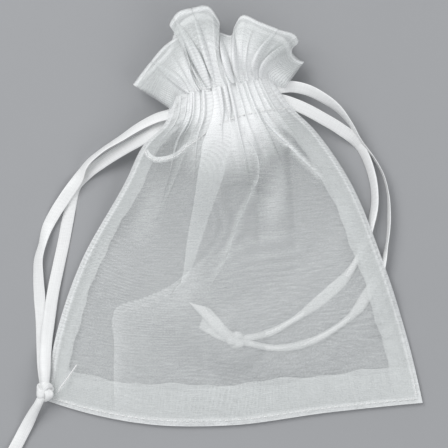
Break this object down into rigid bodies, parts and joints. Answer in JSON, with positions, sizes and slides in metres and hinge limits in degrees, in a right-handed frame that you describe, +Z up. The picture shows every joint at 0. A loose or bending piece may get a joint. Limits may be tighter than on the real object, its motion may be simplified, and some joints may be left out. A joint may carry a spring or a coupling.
{
  "type": "drawstring gift pouch",
  "caption": "Small sheer organza gift pouch lying flat, its ruffled neck drawn shut by a satin ribbon drawstring from each side.",
  "frame": {"origin": "on the surface that the pouch lies on, under the middle of the pouch without its free ribbons", "axes": "+Z up off the surface, +Y from the bottom seam towards the ruffle, +X to the right seen from above"},
  "size_m": [0.1122, 0.1223, 0.0149],
  "materials": {
    "organza": "sheer white organza, fine plain weave",
    "ribbon": "white satin ribbon with woven edges",
    "thread": "white sewing thread"
  },
  "bodies": {
    "pouch": {"front_panel": "organza", "back_panel": "organza", "left_seam_allowance": "organza", "right_seam_allowance": "organza", "bottom_seam_allowance": "organza", "front_casing_facing": "organza", "back_casing_facing": "organza", "left_seam_thread": "thread", "right_seam_thread": "thread", "bottom_seam_thread": "thread", "front_upper_casing_stitch": "thread", "front_lower_casing_stitch": "thread", "back_upper_casing_stitch": "thread", "back_lower_casing_stitch": "thread", "loose_thread_end": "thread", "left_ribbon_in_casing": "ribbon", "right_ribbon_in_casing": "ribbon"},
    "ruffle": {"front_ruffle": "organza", "back_ruffle": "organza"},
    "left_drawstring": {"left_upper_exit": "ribbon", "left_lower_exit": "ribbon"},
    "left_loop": {"left_upper_leg": "ribbon", "left_lower_leg": "ribbon", "left_knot": "ribbon", "left_upper_tail": "ribbon", "left_lower_tail": "ribbon"},
    "right_drawstring": {"right_outer_leg": "ribbon", "right_inner_leg": "ribbon", "right_knot": "ribbon", "right_upper_tail": "ribbon", "right_lower_tail": "ribbon"}
  },
  "joints": [
    {"name": "ruffle_tilt", "type": "hinge", "parent": "pouch", "child": "ruffle", "pos_m": [-0.0035, 0.0347, 0.0149], "axis": [0.9781, 0.2079, 0], "range_deg": [0, 45]},
    {"name": "left_pull", "type": "slide", "parent": "pouch", "child": "left_drawstring", "axis": [-0.9781, -0.2079, 0], "range_m": [0, 0.004]},
    {"name": "left_loop_swing", "type": "hinge", "parent": "left_drawstring", "child": "left_loop", "pos_m": [-0.0222, 0.0262, 0.006], "axis": [0, 0, 1], "range_deg": [-35, 0]},
    {"name": "right_pull", "type": "slide", "parent": "pouch", "child": "right_drawstring", "axis": [0.9781, 0.2079, 0], "range_m": [0, 0.004]}
  ]
}
